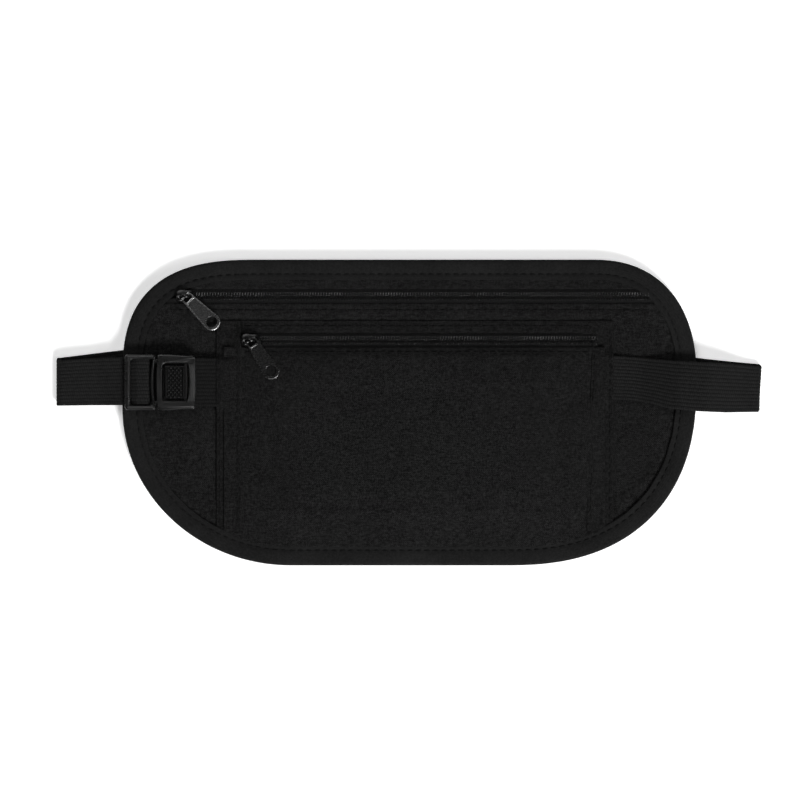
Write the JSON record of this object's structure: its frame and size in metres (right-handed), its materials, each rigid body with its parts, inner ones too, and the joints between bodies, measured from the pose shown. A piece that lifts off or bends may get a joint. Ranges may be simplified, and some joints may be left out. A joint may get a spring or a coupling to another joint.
{
  "type": "money belt",
  "caption": "Flat rounded zipped waist pouch with an outer zipped pocket, bound edges and an elastic strap folded behind it, which closes with a press-release buckle.",
  "frame": {"origin": "on the table under the middle of the pouch, which lies on its back panel", "axes": "+X along the strap, away from the buckle; +Y up the pouch, towards the main zip; +Z out of the front face"},
  "size_m": [0.3266, 0.1414, 0.0125],
  "materials": {
    "shell_fabric": "matt",
    "back_fabric": "matt",
    "binding_tape": "matt",
    "zip_tape": "matt",
    "zip_coil": "satin",
    "zip_metal": "satin",
    "elastic_strap": "matt",
    "buckle_plastic": "satin"
  },
  "bodies": {
    "root": {"front_panel": "shell_fabric", "pocket_panel": "shell_fabric", "top_zip_facing": "shell_fabric", "pocket_zip_facing": "shell_fabric", "back_panel": "back_fabric", "edge_binding": "binding_tape", "pocket_side_tape_left": "binding_tape", "pocket_side_tape_right": "binding_tape", "top_zip_tape_upper": "zip_tape", "top_zip_tape_lower": "zip_tape", "pocket_zip_tape_upper": "zip_tape", "pocket_zip_tape_lower": "zip_tape", "top_zip_coil_upper": "zip_coil", "top_zip_coil_lower": "zip_coil", "pocket_zip_coil_upper": "zip_coil", "pocket_zip_coil_lower": "zip_coil", "strap": "elastic_strap", "buckle_anchor_webbing": "elastic_strap", "buckle_socket": "buckle_plastic"},
    "top_slider": {"top_zip_slider": "zip_metal"},
    "top_pull": {"top_zip_pull_tab": "zip_metal"},
    "pocket_slider": {"pocket_zip_slider": "zip_metal"},
    "pocket_pull": {"pocket_zip_pull_tab": "zip_metal"},
    "buckle_plug": {"buckle_plug_frame": "buckle_plastic", "strap_adjuster_end": "elastic_strap"},
    "press_pad": {"buckle_press_pad": "buckle_plastic"}
  },
  "joints": [
    {"name": "top_zip", "type": "slide", "parent": "root", "child": "top_slider", "axis": [1, 0, 0], "range_m": [0, 0.203], "deforming": ["top_zip_coil_upper", "top_zip_coil_lower"]},
    {"name": "top_pull_flip", "type": "hinge", "parent": "top_slider", "child": "top_pull", "pos_m": [-0.1035, 0.0538, 0.00915], "axis": [-0.7009, -0.7133, 0], "range_deg": [0, 180]},
    {"name": "pocket_zip", "type": "slide", "parent": "root", "child": "pocket_slider", "axis": [1, 0, 0], "range_m": [0, 0.15], "deforming": ["pocket_zip_coil_upper", "pocket_zip_coil_lower"]},
    {"name": "pocket_pull_flip", "type": "hinge", "parent": "pocket_slider", "child": "pocket_pull", "pos_m": [-0.0733, 0.0335, 0.0106], "axis": [-0.8387, -0.5446, 0], "range_deg": [0, 180]},
    {"name": "buckle_release", "type": "slide", "parent": "root", "child": "buckle_plug", "axis": [-1, 0, 0], "range_m": [0, 0.022], "deforming": ["strap_adjuster_end", "buckle_press_pad"]},
    {"name": "pad_press", "type": "hinge", "parent": "buckle_plug", "child": "press_pad", "pos_m": [-0.1041, 0.014, 0.01], "axis": [0, -1, 0], "range_deg": [0, 7.5], "stiffness_Nm_per_rad": 0.6}
  ]
}
